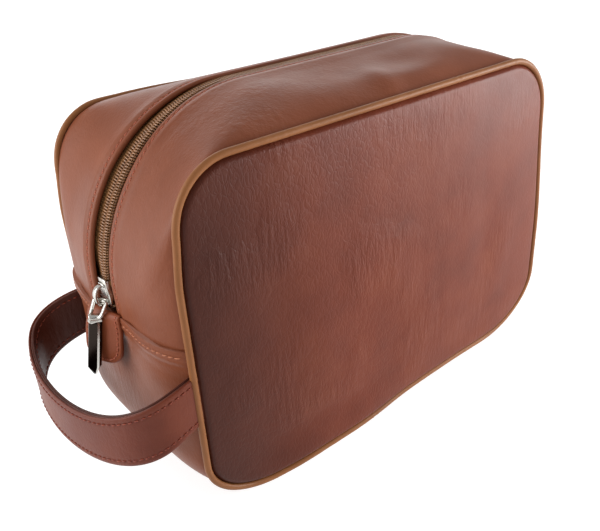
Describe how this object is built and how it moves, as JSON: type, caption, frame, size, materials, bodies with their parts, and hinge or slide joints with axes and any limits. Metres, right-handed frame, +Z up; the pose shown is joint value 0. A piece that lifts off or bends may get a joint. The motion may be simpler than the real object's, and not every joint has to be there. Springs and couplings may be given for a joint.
{
  "type": "wash bag",
  "caption": "Boxy leather wash bag with piped front and back panels, a zip running over the top and down both ends, and a short carry strap on one end.",
  "frame": {"origin": "middle of the flat underside, on the surface that the bag stands on", "axes": "+X along the bag away from the carry strap, +Y to the back, +Z up"},
  "size_m": [0.2971, 0.1132, 0.1828],
  "materials": {
    "panel_leather": "smooth red-brown leather, soft sheen",
    "gusset_leather": "smooth red-brown leather, soft sheen",
    "strap_leather": "smooth red-brown leather, painted edges",
    "piping_leather": "tan leather, satin",
    "cotton_cord": "twisted cotton",
    "binding_tape": "woven tape",
    "stiffener_board": "fibre board",
    "lining_fabric": "plain woven lining",
    "zip_tape": "woven camel-brown tape",
    "zip_coil": "brown coil",
    "nickel": "polished nickel plate",
    "strap_webbing": "woven webbing",
    "thread": "light orange-brown sewing thread"
  },
  "bodies": {
    "bag": {"front_panel": "panel_leather", "back_panel": "panel_leather", "front_panel_board": "stiffener_board", "back_panel_board": "stiffener_board", "front_panel_lining": "lining_fabric", "back_panel_lining": "lining_fabric", "front_piping_cover": "piping_leather", "back_piping_cover": "piping_leather", "front_piping_cord": "cotton_cord", "back_piping_cord": "cotton_cord", "front_seam_binding": "binding_tape", "back_seam_binding": "binding_tape", "front_zip_gusset": "gusset_leather", "back_zip_gusset": "gusset_leather", "front_zip_gusset_lining": "lining_fabric", "back_zip_gusset_lining": "lining_fabric", "front_zip_tape": "zip_tape", "back_zip_tape": "zip_tape", "front_zip_coil": "zip_coil", "back_zip_coil": "zip_coil", "front_strap_root": "strap_leather", "back_strap_root": "strap_leather", "base_gusset": "gusset_leather", "base_board": "stiffener_board", "base_lining": "lining_fabric", "zip_top_stops": "nickel", "zip_bottom_stop": "nickel", "left_zip_tab": "gusset_leather", "right_zip_tab": "gusset_leather", "end_seam_stitching": "thread"},
    "slider": {"zip_slider": "nickel"},
    "pull": {"zip_pull": "nickel"},
    "strap": {"strap_outer": "strap_leather", "strap_core": "strap_webbing", "strap_inner": "strap_leather", "strap_stitching": "thread"}
  },
  "joints": [
    {"name": "zip_travel", "type": "hinge", "parent": "bag", "child": "slider", "pos_m": [-0.051, 0, 0.105], "axis": [0, 1, 0], "range_deg": [0, 90]},
    {"name": "pull_swing", "type": "hinge", "parent": "slider", "child": "pull", "pos_m": [-0.13175, 0, 0.0987], "axis": [0, 1, 0], "range_deg": [0, 145]},
    {"name": "strap_swing", "type": "hinge", "parent": "bag", "child": "strap", "pos_m": [-0.123, 0, 0.066], "axis": [0, 1, 0], "range_deg": [-25, 40]}
  ]
}
